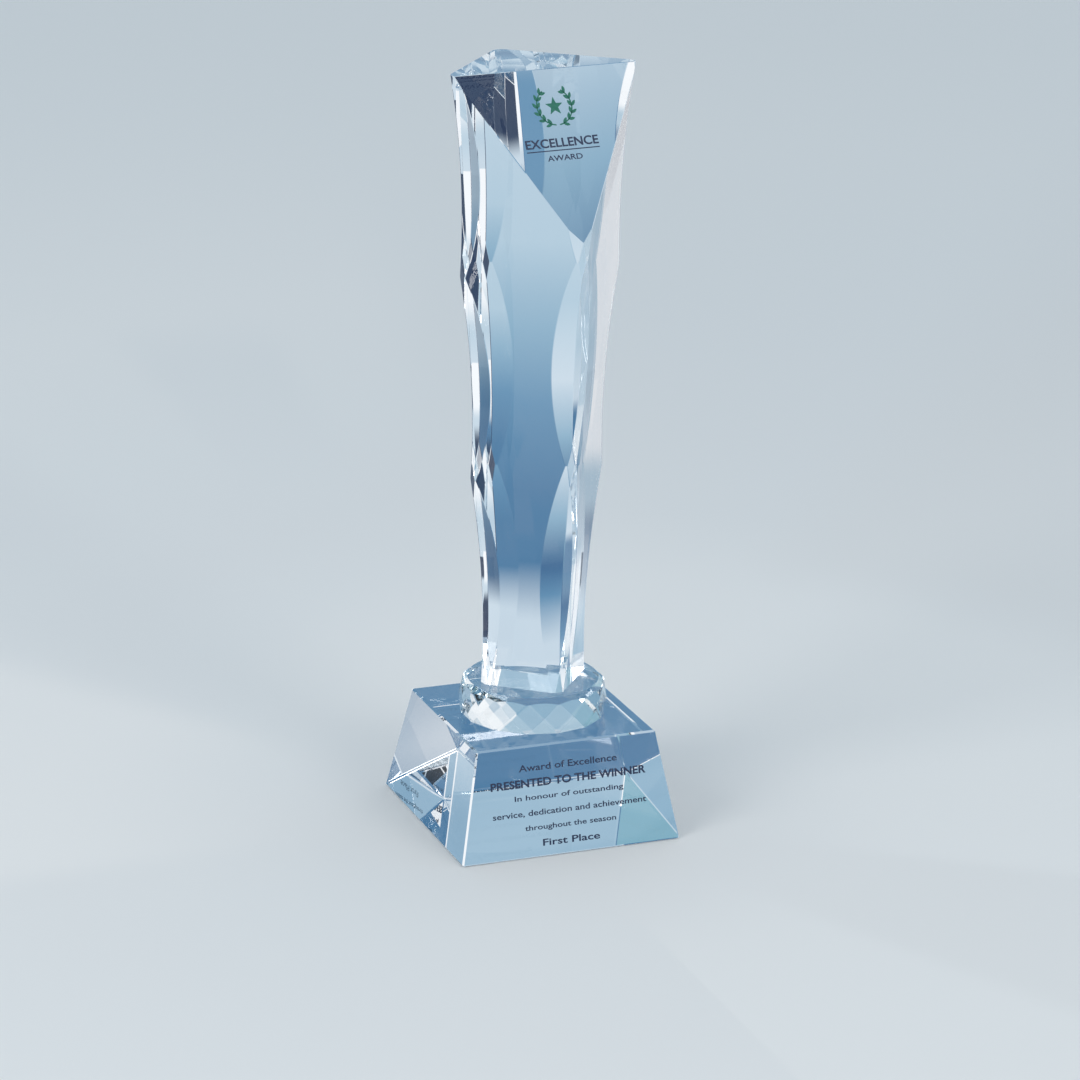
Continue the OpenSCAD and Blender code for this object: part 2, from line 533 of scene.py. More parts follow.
@dataclass
class GemDisc:
    """The gem-cut disc: a ring of diamond facets with notches between them and a sloping rim."""

    crystal: bpy.types.Material
    bond: bpy.types.Material
    facets: int = 14
    rim_in: float = 2.3 * MM
    rim_h: float = 1.9 * MM
    tip_w: float = 0.8 * MM
    table_margin: float = 1.2 * MM
    arc_steps: int = 4
    ring_weld: float = 10 * WELD
    crease_deg: float = 8.0

    def __post_init__(self) -> None:
        """Reads the disc's place from the frame."""
        low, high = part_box("gem_disc")
        self.z = low.z
        self.height = high.z - low.z
        self.flat_r = (high.y - low.y) / 2
        self.half_step = math.pi / self.facets
        self.edge_r = self.flat_r / math.cos(self.half_step)
        self.belt_h = self.height - self.rim_h
        notch_r = self.flat_r * math.cos(self.half_step) + self.tip_w / 2 * math.sin(self.half_step)
        self.notch_slope = (self.edge_r - notch_r) / (self.belt_h / 2)
        self.rim_slope = self.rim_in / self.rim_h

    def rim_height(self, turn: float) -> float:
        """Finds where a notch meets the sloping rim.

        Args:
            turn: Angle from the middle of the diamond facet, up to half a step.

        Returns:
            The height above the disc's underside.
        """
        across = math.cos(self.half_step - turn)
        cone = self.flat_r + self.belt_h * self.rim_slope
        notch = self.edge_r + self.belt_h / 2 * self.notch_slope
        return (cone * across - notch) / (self.rim_slope * across - self.notch_slope)

    def facet_unit(self) -> bpy.types.Mesh:
        """Builds one facet of the ring: a diamond, four half notches, and its share of the rim.

        Returns:
            An open mesh that spans one step of the ring, about +X.
        """
        bm = bmesh.new()

        def at(turn: float, radius: float, z: float) -> bmesh.types.BMVert:
            """Adds a vertex in polar terms."""
            return bm.verts.new((radius * math.cos(turn), radius * math.sin(turn), z))

        half = self.half_step
        tip = math.atan(self.tip_w / 2 / self.flat_r)
        tip_r = self.flat_r / math.cos(tip)
        middle = self.belt_h / 2
        foot_notch = self.edge_r - middle * self.notch_slope
        top_r = self.flat_r - self.rim_in
        table_r = top_r - self.table_margin
        film_r = film_radius()
        steps = self.arc_steps
        turns = [tip + (half - tip) * i / steps for i in range(steps + 1)]
        turns = [-t for t in reversed(turns)] + turns
        crest = []
        for turn in turns:
            z = self.rim_height(max(abs(turn), tip))
            crest.append(at(turn, self.flat_r + (self.belt_h - z) * self.rim_slope, z))
        left, right = at(-half, self.edge_r, middle), at(half, self.edge_r, middle)
        foot = [
            at(-half, foot_notch, 0), at(-tip, tip_r, 0), at(tip, tip_r, 0), at(half, foot_notch, 0)
        ]
        mid = steps + 1
        bm.faces.new([foot[1], foot[2], right, crest[mid], crest[mid - 1], left])
        bm.faces.new([left, *reversed(crest[:mid])])
        bm.faces.new([right, *reversed(crest[mid:])])
        bm.faces.new([foot[0], foot[1], left])
        bm.faces.new([foot[2], foot[3], right])
        top = [at(turn, top_r, self.height) for turn in turns]
        table = [at(turn, table_r, self.height) for turn in turns]
        seat = [at(turn, film_r, 0) for turn in turns]
        for i in range(len(turns) - 1):
            bm.faces.new([crest[i], crest[i + 1], top[i + 1], top[i]])
            bm.faces.new([top[i], top[i + 1], table[i + 1], table[i]])
        bm.faces.new([*seat, *reversed(foot)])
        mesh = bpy.data.meshes.new("facet_unit")
        bm.to_mesh(mesh)
        bm.free()
        return mesh

    def ring(self) -> bpy.types.Mesh:
        """Repeats the facet round the disc with Geometry Nodes.

        Returns:
            The welded ring, open at the middle of its top and its underside.
        """
        tree = bpy.data.node_groups.new("facet_ring", "GeometryNodeTree")
        tree.interface.new_socket("Facet", in_out="INPUT", socket_type="NodeSocketGeometry")
        count = tree.interface.new_socket("Facet Count", in_out="INPUT", socket_type="NodeSocketInt")
        angle = "First Facet Angle"
        first = tree.interface.new_socket(angle, in_out="INPUT", socket_type="NodeSocketFloat")
        finish = tree.interface.new_socket("Crystal", in_out="INPUT", socket_type="NodeSocketMaterial")
        tree.interface.new_socket("Ring", in_out="OUTPUT", socket_type="NodeSocketGeometry")
        source = add_node(tree, "NodeGroupInput")
        points = add_node(tree, "GeometryNodePoints")
        tree.links.new(source.outputs["Facet Count"], points.inputs["Count"])
        index = add_node(tree, "GeometryNodeInputIndex")
        step = math_node(tree, "DIVIDE", 2 * math.pi, source.outputs["Facet Count"])
        turn = math_node(tree, "MULTIPLY_ADD", index.outputs[0], step, source.outputs[angle])
        spin = add_node(tree, "ShaderNodeCombineXYZ")
        tree.links.new(turn, spin.inputs["Z"])
        euler = add_node(tree, "FunctionNodeEulerToRotation")
        tree.links.new(spin.outputs[0], euler.inputs[0])
        copies = add_node(tree, "GeometryNodeInstanceOnPoints")
        tree.links.new(points.outputs[0], copies.inputs["Points"])
        tree.links.new(source.outputs["Facet"], copies.inputs["Instance"])
        tree.links.new(euler.outputs[0], copies.inputs["Rotation"])
        real = add_node(tree, "GeometryNodeRealizeInstances")
        weld = add_node(tree, "GeometryNodeMergeByDistance")
        weld.inputs["Distance"].default_value = self.ring_weld
        dress = add_node(tree, "GeometryNodeSetMaterial")
        out = add_node(tree, "NodeGroupOutput")
        tree.links.new(copies.outputs[0], real.inputs[0])
        tree.links.new(real.outputs[0], weld.inputs["Geometry"])
        tree.links.new(weld.outputs[0], dress.inputs["Geometry"])
        tree.links.new(source.outputs["Crystal"], dress.inputs["Material"])
        tree.links.new(dress.outputs[0], out.inputs[0])
        settings = {count: self.facets, first: FRONT, finish: self.crystal}
        return grow(self.facet_unit(), tree, settings)

    def build(self, foot: list[Point2]) -> bpy.types.Object:
        """Closes the ring with its table and its seat.

        Args:
            foot: Outline of the adhesive under the column.

        Returns:
            The finished piece.
        """
        bm = bmesh.new()
        bm.from_mesh(self.ring())
        for patch, z in ((foot, self.height), (None, 0.0)):
            edges = [e for e in bm.edges if e.is_boundary and abs(e.verts[0].co.z - z) < WELD]
            rim = list({v for e in edges for v in e.verts})
            if patch:
                patch_flat_face(bm, rim, patch, z)
            else:
                rim.sort(key=lambda v: math.atan2(v.co.y, v.co.x))
                bm.faces.new(rim).material_index = BOND_SLOT
        bmesh.ops.translate(bm, vec=(0, 0, self.z), verts=bm.verts)
        mesh = to_mesh(bm, self.crease_deg)
        piece = link_object(mesh, "gem_disc_crystal", self.crystal, self.bond)
        stand_for(piece, Slot.CRYSTAL, "gem_disc")
        return piece


@dataclass
class Column:
    """The flared square column, with hollows along its corners and a triangle cut on its front.

    It is worked out from its horizontal sections. Seen in a corner's own terms, along is the
    distance out on the corner's centre line and across is the distance to one side of it.
    Corners and wide faces are counted anticlockwise, the corners from the front one.
    """

    crystal: bpy.types.Material
    bond: bpy.types.Material
    foot_diagonal: float = 42.4 * MM
    top_diagonal: float = 71.8 * MM
    corner_flat: float = 3.6 * MM
    turn: float = math.radians(6)
    hollow_rows: int = 3
    hollow_reach: float = 9.7 * MM
    cusp_reach: float = 3.0 * MM
    hollow_angle: float = math.radians(27.5)
    side_lift: float = 3.0 * MM
    front_lift: float = 12.0 * MM
    facet_drop: float = 52.6 * MM
    facet_forward: float = 1.5 * MM
    bond_inset: float = 0.4 * MM
    bond_corner_inset: float = 1.4 * MM
    arris: float = 0.14 * MM
    row_step: float = 0.9 * MM
    row_gap: float = 0.3 * MM
    front_corner: int = 0
    back_faces: tuple[int, int] = (1, 2)
    crease_deg: float = 5.0

    def __post_init__(self) -> None:
        """Reads the column's height from the frame."""
        low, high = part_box("column")
        self.foot_z, self.top_z = low.z, high.z
        self.height = self.top_z - self.foot_z

    def corner_r(self, z: float) -> float:
        """Gives the distance of the sharp corner line from the axis at height z."""
        share = (z - self.foot_z) / self.height
        return (self.foot_diagonal + (self.top_diagonal - self.foot_diagonal) * share) / 2

    def cusp_heights(self, lift: float) -> list[float]:
        """Lists where the hollows of a corner meet, from the foot up."""
        pitch = self.height / self.hollow_rows
        even = [self.foot_z + i * pitch for i in range(self.hollow_rows + 1)]
        return [even[0]] + [z + lift for z in even[1:]]

    def hollow_distance(self, z: float, lift: float) -> float:
        """Finds how far from the axis the hollows leave the crystal.

        Args:
            z: Height of the section.
            lift: Rise of the corner's meeting points above even spacing.

        Returns:
            The distance of the hollow face at that height.
        """
        cosine = math.cos(self.hollow_angle)
        spread = (cosine - math.sin(self.hollow_angle)) / math.sqrt(2)
        depth = (self.hollow_reach - self.cusp_reach) * spread
        cusps = self.cusp_heights(lift)
        nearest = math.inf
        for low_z, high_z in zip(cusps, cusps[1:]):
            low_d = self.corner_r(low_z) * cosine - self.cusp_reach * spread
            high_d = self.corner_r(high_z) * cosine - self.cusp_reach * spread
            rise, run = high_z - low_z, high_d - low_d
            half_chord = math.hypot(rise, run) / 2
            wheel = (half_chord**2 + depth**2) / (2 * depth)
            tip = math.atan2(run, rise)
            centre_d = (low_d + high_d) / 2 + math.cos(tip) * (wheel - depth)
            centre_z = (low_z + high_z) / 2 - math.sin(tip) * (wheel - depth)
            nearest = min(nearest, centre_d - math.sqrt(wheel**2 - (z - centre_z) ** 2))
        return nearest

    def corner_section(self, z: float, lift: float) -> list[Point2]:
        """Works out half of one corner's section, from its centre line to the wide face.

        Args:
            z: Height of the section.
            lift: Rise of the corner's meeting points above even spacing.

        Returns:
            Four (along, across) points; the sharp edges are already broken by the arris.
        """
        sine, cosine = math.sin(self.hollow_angle), math.cos(self.hollow_angle)
        corner = self.corner_r(z)
        hollow = self.hollow_distance(z, lift)
        face_along = (hollow - corner * sine) / (cosine - sine)
        face_edge = Vector((face_along, corner - face_along))
        flat_along = corner - self.corner_flat / 2
        flat_half = (hollow - cosine * flat_along) / sine
        slope = Vector((-sine, cosine))
        if flat_half > 0:
            flat_edge = Vector((flat_along, flat_half))
            on_flat = flat_edge - Vector((0, min(self.arris, flat_half)))
        else:
            flat_edge = Vector((hollow / cosine, 0))
            on_flat = Vector(((flat_edge + slope * self.arris).x, 0))
        down_slope = slope * self.arris
        away = Vector((-1, 1)) * (self.arris / math.sqrt(2))
        points = (on_flat, flat_edge + down_slope, face_edge - down_slope, face_edge + away)
        return [(p.x, p.y) for p in points]

    def section(self, z: float) -> list[Vector]:
        """Lists the points of a whole section, anticlockwise from the front corner.

        Args:
            z: Height of the section.

        Returns:
            Its points in the column's own, unturned frame.
        """
        points = []
        for corner in range(SIDES):
            lift = self.front_lift if corner == self.front_corner else self.side_lift
            half = self.corner_section(z, lift)
            both = [(along, -across) for along, across in reversed(half)] + half
            angle = FRONT + corner * QUARTER
            out = Vector((math.cos(angle), math.sin(angle), 0))
            side = Vector((-out.y, out.x, 0))
            points += [out * along + side * across + Vector((0, 0, z)) for along, across in both]
        return points

    def row_heights(self) -> list[float]:
        """Lists the heights of the sections, with one exactly at each meeting point."""
        count = round(self.height / self.row_step)
        rows = [self.foot_z + self.height * i / count for i in range(count + 1)]
        for lift in (self.side_lift, self.front_lift):
            for cusp in self.cusp_heights(lift)[1:]:
                if cusp < self.top_z - self.row_step:
                    rows = [z for z in rows if abs(z - cusp) > self.row_gap] + [cusp]
        return sorted(rows)

    def loft(self) -> bmesh.types.BMesh:
        """Joins the sections into a closed solid.

        Returns:
            The column before its triangle is cut.
        """
        bm = bmesh.new()
        rows = [[bm.verts.new(p) for p in self.section(z)] for z in self.row_heights()]
        for low, high in zip(rows, rows[1:]):
            for i in range(len(low)):
                j = (i + 1) % len(low)
                bm.faces.new([low[i], low[j], high[j], high[i]])
        bm.faces.new(list(reversed(rows[0])))
        bm.faces.new(rows[-1])
        bmesh.ops.remove_doubles(bm, verts=bm.verts, dist=WELD)
        return bm

    def facet_plane(self) -> Plane:
        """Gives the triangle's plane in the unturned frame."""
        apex_z = self.top_z - self.facet_drop
        run = self.corner_r(apex_z) - self.corner_flat / 2 - self.facet_forward
        lean = math.atan(run / self.facet_drop)
        return leaning_plane(FRONT, lean, self.facet_forward, self.top_z)

    def face_plane(self, number: int) -> Plane:
        """Gives a wide face's plane in the unturned frame, counted from the right of the front."""
        spread = (self.top_diagonal - self.foot_diagonal) / 2 / math.sqrt(2)
        lean = -math.atan(spread / self.height)
        azimuth = FRONT + QUARTER / 2 + number * QUARTER
        return leaning_plane(azimuth, lean, self.foot_diagonal / 2 / math.sqrt(2), self.foot_z)

    def bond_outline(self) -> list[Point2]:
        """Gives the outline of the adhesive under the column, in the award's frame."""
        faces = self.foot_diagonal / 2 / math.sqrt(2) - self.bond_inset
        flats = (self.foot_diagonal - self.corner_flat) / 2 - self.bond_corner_inset
        across = math.sqrt(2) * faces - flats
        points = []
        for corner in range(SIDES):
            turn = Matrix.Rotation(self.turn + FRONT + corner * QUARTER, 2)
            points += [tuple(turn @ Vector((flats, side * across))) for side in (-1, 1)]
        return points

    def build(self) -> bpy.types.Object:
        """Lofts the column, cuts its triangle and breaks the flat faces' edges.

        Returns:
            The finished piece.
        """
        bm = self.loft()
        facet = self.facet_plane()
        top = (Vector((0, 0, self.top_z)), Vector((0, 0, 1)))
        foot = (Vector((0, 0, self.foot_z)), Vector((0, 0, -1)))
        cut_off(bm, *facet)
        break_edge(bm, facet[0], facet[1], top[1], self.arris)
        for number in range(SIDES):
            face = self.face_plane(number)
            neighbour = self.face_plane((number + 1) % SIDES)
            break_edge(bm, meeting_point([face, foot, neighbour]), face[1], foot[1], self.arris)
            if number in self.back_faces:
                break_edge(bm, meeting_point([face, top, neighbour]), face[1], top[1], self.arris)
            else:
                break_edge(bm, meeting_point([face, top, facet]), face[1], facet[1], self.arris)
        bm.transform(Matrix.Rotation(self.turn, 4, "Z"))
        rim, z = open_flat_face(bm, up=False)
        patch_flat_face(bm, rim, self.bond_outline(), z)
        piece = link_object(to_mesh(bm, self.crease_deg), "column_crystal", self.crystal, self.bond)
        stand_for(piece, Slot.CRYSTAL, "column")
        return piece

    def facet_frame(self) -> Matrix:
        """Gives the triangle's frame: X right, Y up the slope, origin mid top edge."""
        point, normal = self.facet_plane()
        lean = math.asin(normal.z)
        turn = Matrix.Rotation(self.turn, 4, "Z")
        return turn @ Matrix.Translation(point) @ Matrix.Rotation(math.pi / 2 - lean, 4, "X")


@dataclass
class BondFilms:
    """The two films of clear adhesive between the blocks."""

    bond: bpy.types.Material
    lower_sides: int = 112

    def film(self, name: str, node: str, outline: list[Point2]) -> bpy.types.Object:
        """Makes one film.

        Args:
            name: The piece's name.
            node: The CAD node that it stands for.
            outline: The film's outline.

        Returns:
            The finished piece.
        """
        low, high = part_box(node)
        bm = bmesh.new()
        under = [bm.verts.new((x, y, low.z)) for x, y in outline]
        over = [bm.verts.new((x, y, high.z)) for x, y in outline]
        bm.faces.new(under)
        bm.faces.new(over)
        for i in range(len(outline)):
            j = (i + 1) % len(outline)
            bm.faces.new([under[i], under[j], over[j], over[i]])
        piece = link_object(to_mesh(bm, LAYER_CREASE_DEG), name, self.bond)
        stand_for(piece, Slot.ADHESIVE, node)
        return piece

    def build(self, foot: list[Point2]) -> None:
        """Makes both films.

        Args:
            foot: Outline of the film under the column.
        """
        disc_seat = circle_points(film_radius(), self.lower_sides)
        self.film("lower_adhesive_film", "lower_bond", disc_seat)
        self.film("upper_adhesive_film", "upper_bond", foot)


# ---------------------------------------------------------------------------
# Colour fill: inscription, emblem and title
# ---------------------------------------------------------------------------


# Letters are drawn one unit thick and then thinned to their layer.
LETTER_STEPS = 4
LETTER_HALF_DEPTH = 0.5
LETTER_WELD = 20 * WELD


class Weight(Enum):
    """How far the strokes of a line are thickened, as a share of the letter size."""

    LIGHT = 0.012
    MEDIUM = 0.016
    TITLE = 0.022
    BOLD = 0.028


@dataclass(frozen=True)
class Wording:
    """One centred line of generic lettering, at a distance down its face."""

    text: str
    node: str
    length: float
    height: float
    down: float
    weight: Weight


def lettering(
    line: Wording, place: Matrix, fill: bpy.types.Material, thickness: float
) -> bpy.types.Object:
    """Makes one line of lettering as a thin layer on a face.

    Args:
        line: The words and their size.
        place: Frame of the face, X right and Y up the slope.
        fill: The colour fill's material.
        thickness: Thickness of the layer.

    Returns:
        The finished piece.
    """
    curve = bpy.data.curves.new(line.node, "FONT")
    curve.body = line.text
    curve.align_x = "CENTER"
    curve.resolution_u = LETTER_STEPS
    curve.offset = line.weight.value
    curve.extrude = LETTER_HALF_DEPTH
    holder = bpy.data.objects.new("holder", curve)
    bpy.context.scene.collection.objects.link(holder)
    bpy.context.view_layer.update()
    drawn = holder.evaluated_get(bpy.context.evaluated_depsgraph_get())
    mesh = bpy.data.meshes.new_from_object(drawn)
    bpy.data.objects.remove(holder)
    xs = [v.co.x for v in mesh.vertices]
    ys = [v.co.y for v in mesh.vertices]
    wide, tall = max(xs) - min(xs), max(ys) - min(ys)
    under_middle = Vector(((max(xs) + min(xs)) / 2, (max(ys) + min(ys)) / 2, -LETTER_HALF_DEPTH))
    fit = Matrix.Diagonal((line.length / wide, line.height / tall, thickness, 1.0))
    spot = Matrix.Translation((0, -line.down, 0))
    mesh.transform(place @ spot @ fit @ Matrix.Translation(-under_middle))
    bm = bmesh.new()
    bm.from_mesh(mesh)
    bmesh.ops.remove_doubles(bm, verts=bm.verts, dist=LETTER_WELD)
    piece = link_object(to_mesh(bm, LAYER_CREASE_DEG), f"{line.node}_fill", fill)
    stand_for(piece, Slot.NAVY, line.node)
    return piece


@dataclass
class Inscription:
    """Six centred lines on the front face of the base."""

    fill: bpy.types.Material
    thickness: float = 0.1 * MM
    first_down: float = 7.6 * MM
    pitch: float = 5.3 * MM
    plain_h: float = 2.4 * MM
    bold_h: float = 2.9 * MM
    lines: tuple[tuple[str, float, Weight], ...] = (
        ("Award of Excellence", 36.0 * MM, Weight.LIGHT),
        ("PRESENTED TO THE WINNER", 57.0 * MM, Weight.BOLD),
        ("In honour of outstanding", 40.0 * MM, Weight.LIGHT),
        ("service, dedication and achievement", 56.5 * MM, Weight.LIGHT),
        ("throughout the season", 33.5 * MM, Weight.LIGHT),
        ("First Place", 21.0 * MM, Weight.MEDIUM),
    )

    def build(self, place: Matrix) -> None:
        """Lays the lines down the face.

        Args:
            place: Frame of the front face.
        """
        for index, (text, length, weight) in enumerate(self.lines):
            height = self.bold_h if weight is Weight.BOLD else self.plain_h
            down = self.first_down + index * self.pitch
            line = Wording(text, f"inscription_line_{index + 1}", length, height, down, weight)
            lettering(line, place, self.fill, self.thickness)


@dataclass
class Emblem:
    """A laurel wreath round a star, over a title, a rule and a subtitle, on the triangle.

    The downs are distances from the triangle's top edge. Angles in the wreath run from its foot:
    its leaves begin after start and end gap short of its top, and the first pair of leaves sits
    the share first_pair of one pair's angle along.
    """

    green: bpy.types.Material
    navy: bpy.types.Material
    thickness: float = 0.1 * MM
    down: float = 13 * MM
    wreath_r: float = 6.4 * MM
    leaf_pairs: int = 6
    leaf_l: float = 2.5 * MM
    leaf_w: float = 1.05 * MM
    leaf_tilt: float = math.radians(34)
    leaf_steps: int = 6
    first_pair: float = 0.3
    stem_w: float = 0.45 * MM
    stem_steps: int = 24
    start: float = math.radians(12)
    gap: float = math.radians(32)
    star_points: int = 5
    star_r: float = 3.3 * MM
    star_waist: float = 0.42
    title_down: float = 25.4 * MM
    title_l: float = 27 * MM
    title_h: float = 3.1 * MM
    rule_down: float = 28.0 * MM
    rule_h: float = 0.35 * MM
    subtitle_down: float = 30.6 * MM
    subtitle_l: float = 13 * MM
    subtitle_h: float = 1.9 * MM

    def leaf(self) -> bpy.types.Mesh:
        """Builds one pointed leaf along +Y, with its foot at the origin.

        Returns:
            The leaf's mesh.
        """
        radius = (self.leaf_l**2 + self.leaf_w**2) / (4 * self.leaf_w)
        reach = math.asin(self.leaf_l / 2 / radius)
        steps = self.leaf_steps
        turns = [-reach + 2 * reach * i / steps for i in range(steps + 1)]
        edge = [
            (radius * math.cos(t) - radius + self.leaf_w / 2, self.leaf_l / 2 + radius * math.sin(t))
            for t in turns
        ]
        outline = edge + [(-x, y) for x, y in reversed(edge[1:-1])]
        return self.slab(outline)

    def slab(self, outline: list[Point2]) -> bpy.types.Mesh:
        """Makes a flat layer of colour fill from its outline.

        Args:
            outline: The layer's outline, anticlockwise.

        Returns:
            The closed mesh.
        """
        bm = bmesh.new()
        face = bm.faces.new([bm.verts.new((x, y, 0)) for x, y in outline])
        raised = bmesh.ops.extrude_face_region(bm, geom=[face])["geom"]
        lifted = [item for item in raised if isinstance(item, bmesh.types.BMVert)]
        bmesh.ops.translate(bm, vec=(0, 0, self.thickness), verts=lifted)
        return to_mesh(bm, LAYER_CREASE_DEG)

    def branch_tree(
        self,
    ) -> tuple[bpy.types.NodeTree, dict[str, bpy.types.NodeTreeInterfaceSocket]]:
        """Builds the Geometry Nodes tree that sets pairs of leaves along a curved stem.

        Returns:
            The tree and its input sockets by name.
        """
        tree = bpy.data.node_groups.new("laurel_branch", "GeometryNodeTree")
        tree.interface.new_socket("Leaf", in_out="INPUT", socket_type="NodeSocketGeometry")
        kinds = {
            "Leaf Pairs": "NodeSocketInt",
            "Stem Radius": "NodeSocketFloat",
            "Start Angle": "NodeSocketFloat",
            "First Pair": "NodeSocketFloat",
            "Pair Angle": "NodeSocketFloat",
            "Leaf Tilt": "NodeSocketFloat",
            "Side": "NodeSocketFloat",
            "Fill": "NodeSocketMaterial",
        }
        sockets = {}
        for name, kind in kinds.items():
            sockets[name] = tree.interface.new_socket(name, in_out="INPUT", socket_type=kind)
        tree.interface.new_socket("Branch", in_out="OUTPUT", socket_type="NodeSocketGeometry")
        source = add_node(tree, "NodeGroupInput")
        points = add_node(tree, "GeometryNodePoints")
        leaves = math_node(tree, "MULTIPLY", source.outputs["Leaf Pairs"], 2.0)
        tree.links.new(leaves, points.inputs["Count"])
        index = add_node(tree, "GeometryNodeInputIndex").outputs[0]
        pair = math_node(tree, "FLOOR", math_node(tree, "DIVIDE", index, 2.0))
        out = math_node(tree, "MULTIPLY_ADD", math_node(tree, "MODULO", index, 2.0), 2.0, -1.0)
        along = math_node(tree, "ADD", pair, source.outputs["First Pair"])
        climb = math_node(tree, "MULTIPLY", along, source.outputs["Pair Angle"])
        arc = math_node(tree, "ADD", climb, source.outputs["Start Angle"])
        sideways = math_node(tree, "MULTIPLY", source.outputs["Stem Radius"], source.outputs["Side"])
        x = math_node(tree, "MULTIPLY", math_node(tree, "SINE", arc), sideways)
        drop = math_node(tree, "MULTIPLY", source.outputs["Stem Radius"], -1.0)
        y = math_node(tree, "MULTIPLY", math_node(tree, "COSINE", arc), drop)
        spot = add_node(tree, "ShaderNodeCombineXYZ")
        tree.links.new(x, spot.inputs["X"])
        tree.links.new(y, spot.inputs["Y"])
        place = add_node(tree, "GeometryNodeSetPosition")
        tree.links.new(points.outputs[0], place.inputs["Geometry"])
        tree.links.new(spot.outputs[0], place.inputs["Position"])
        tilt = math_node(tree, "MULTIPLY_ADD", out, source.outputs["Leaf Tilt"], arc)
        heading = math_node(tree, "SUBTRACT", tilt, QUARTER)
        spin = add_node(tree, "ShaderNodeCombineXYZ")
        tree.links.new(math_node(tree, "MULTIPLY", heading, source.outputs["Side"]), spin.inputs["Z"])
        euler = add_node(tree, "FunctionNodeEulerToRotation")
        tree.links.new(spin.outputs[0], euler.inputs[0])
        copies = add_node(tree, "GeometryNodeInstanceOnPoints")
        tree.links.new(place.outputs[0], copies.inputs["Points"])
        tree.links.new(source.outputs["Leaf"], copies.inputs["Instance"])
        tree.links.new(euler.outputs[0], copies.inputs["Rotation"])
        real = add_node(tree, "GeometryNodeRealizeInstances")
        dress = add_node(tree, "GeometryNodeSetMaterial")
        result = add_node(tree, "NodeGroupOutput")
        tree.links.new(copies.outputs[0], real.inputs[0])
        tree.links.new(real.outputs[0], dress.inputs["Geometry"])
        tree.links.new(source.outputs["Fill"], dress.inputs["Material"])
        tree.links.new(dress.outputs[0], result.inputs[0])
        return tree, sockets

    def stem(self, side: int) -> bpy.types.Mesh:
        """Builds the stem of one branch, a thin curved strip.

        Args:
            side: 1 for the right branch, -1 for the left one.

        Returns:
            The stem's mesh.
        """
        steps = self.stem_steps
        low, high = self.start / 2, math.pi - self.gap
        turns = [low + (high - low) * i / steps for i in range(steps + 1)]
        outline = []
        for radius, order in ((1, turns), (-1, turns[::-1])):
            r = self.wreath_r + radius * self.stem_w / 2
            outline += [(side * r * math.sin(a), -r * math.cos(a)) for a in order]
        return self.slab(outline)

    def build(self, place: Matrix) -> None:
        """Makes the wreath, the star and the wording.

        Args:
            place: Frame of the triangle.
        """
        centre = place @ Matrix.Translation((0, -self.down, 0))
        self.wreath(centre)
        self.star(centre)
        self.wording(place)

    def wreath(self, centre: Matrix) -> None:
        """Makes both branches.

        Args:
            centre: Frame of the emblem's middle.
        """
        tree, sockets = self.branch_tree()
        for side, hand in ((-1, "left"), (1, "right")):
            settings = {
                sockets["Leaf Pairs"]: self.leaf_pairs,
                sockets["Stem Radius"]: self.wreath_r,
                sockets["Start Angle"]: self.start,
                sockets["First Pair"]: self.first_pair,
                sockets["Pair Angle"]: (math.pi - self.gap - self.start) / self.leaf_pairs,
                sockets["Leaf Tilt"]: self.leaf_tilt,
                sockets["Side"]: float(side),
                sockets["Fill"]: self.green,
            }
            bm = bmesh.new()
            bm.from_mesh(grow(self.leaf(), tree, settings))
            bm.from_mesh(self.stem(side))
            bm.transform(centre)
            piece = link_object(to_mesh(bm, LAYER_CREASE_DEG), f"laurel_branch_{hand}", self.green)
            stand_for(piece, Slot.GREEN, f"emblem_wreath_{hand}")

    def star(self, centre: Matrix) -> None:
        """Makes the star, with one point straight up.

        Args:
            centre: Frame of the emblem's middle.
        """
        corners = []
        for i in range(self.star_points):
            turn = 2 * math.pi * i / self.star_points
            for radius in (self.star_r, self.star_r * self.star_waist):
                corners.append((-radius * math.sin(turn), radius * math.cos(turn)))
                turn += math.pi / self.star_points
        mesh = self.slab(corners)
        mesh.transform(centre)
        stand_for(link_object(mesh, "star_fill", self.green), Slot.GREEN, "emblem_star")

    def wording(self, place: Matrix) -> None:
        """Makes the title, the rule under it and the subtitle.

        Args:
            place: Frame of the triangle.
        """
        title = Wording(
            "EXCELLENCE", "title_line", self.title_l, self.title_h, self.title_down, Weight.TITLE
        )
        lettering(title, place, self.navy, self.thickness)
        x, y = self.title_l / 2, self.rule_h / 2
        rule = self.slab([(-x, -y), (x, -y), (x, y), (-x, y)])
        rule.transform(place @ Matrix.Translation((0, -self.rule_down, 0)))
        stand_for(link_object(rule, "title_rule_fill", self.navy), Slot.NAVY, "title_rule")
        subtitle = Wording(
            "AWARD", "subtitle_line", self.subtitle_l, self.subtitle_h, self.subtitle_down, Weight.LIGHT
        )
        lettering(subtitle, place, self.navy, self.thickness)


# ---------------------------------------------------------------------------
# Studio
# ---------------------------------------------------------------------------


Color = tuple[float, float, float, float]
Stops = tuple[tuple[float, Color], ...]


def paint(red: int, green: int, blue: int) -> Color:
    """Turns an 8-bit display colour into the linear colour that a node takes.

    Args:
        red: Red, up to 255.
        green: Green, up to 255.
        blue: Blue, up to 255.

    Returns:
        The linear colour, by the power part of the standard display curve.
    """
    return tuple(((c / 255 + 0.055) / 1.055) ** 2.4 for c in (red, green, blue)) + (1.0,)
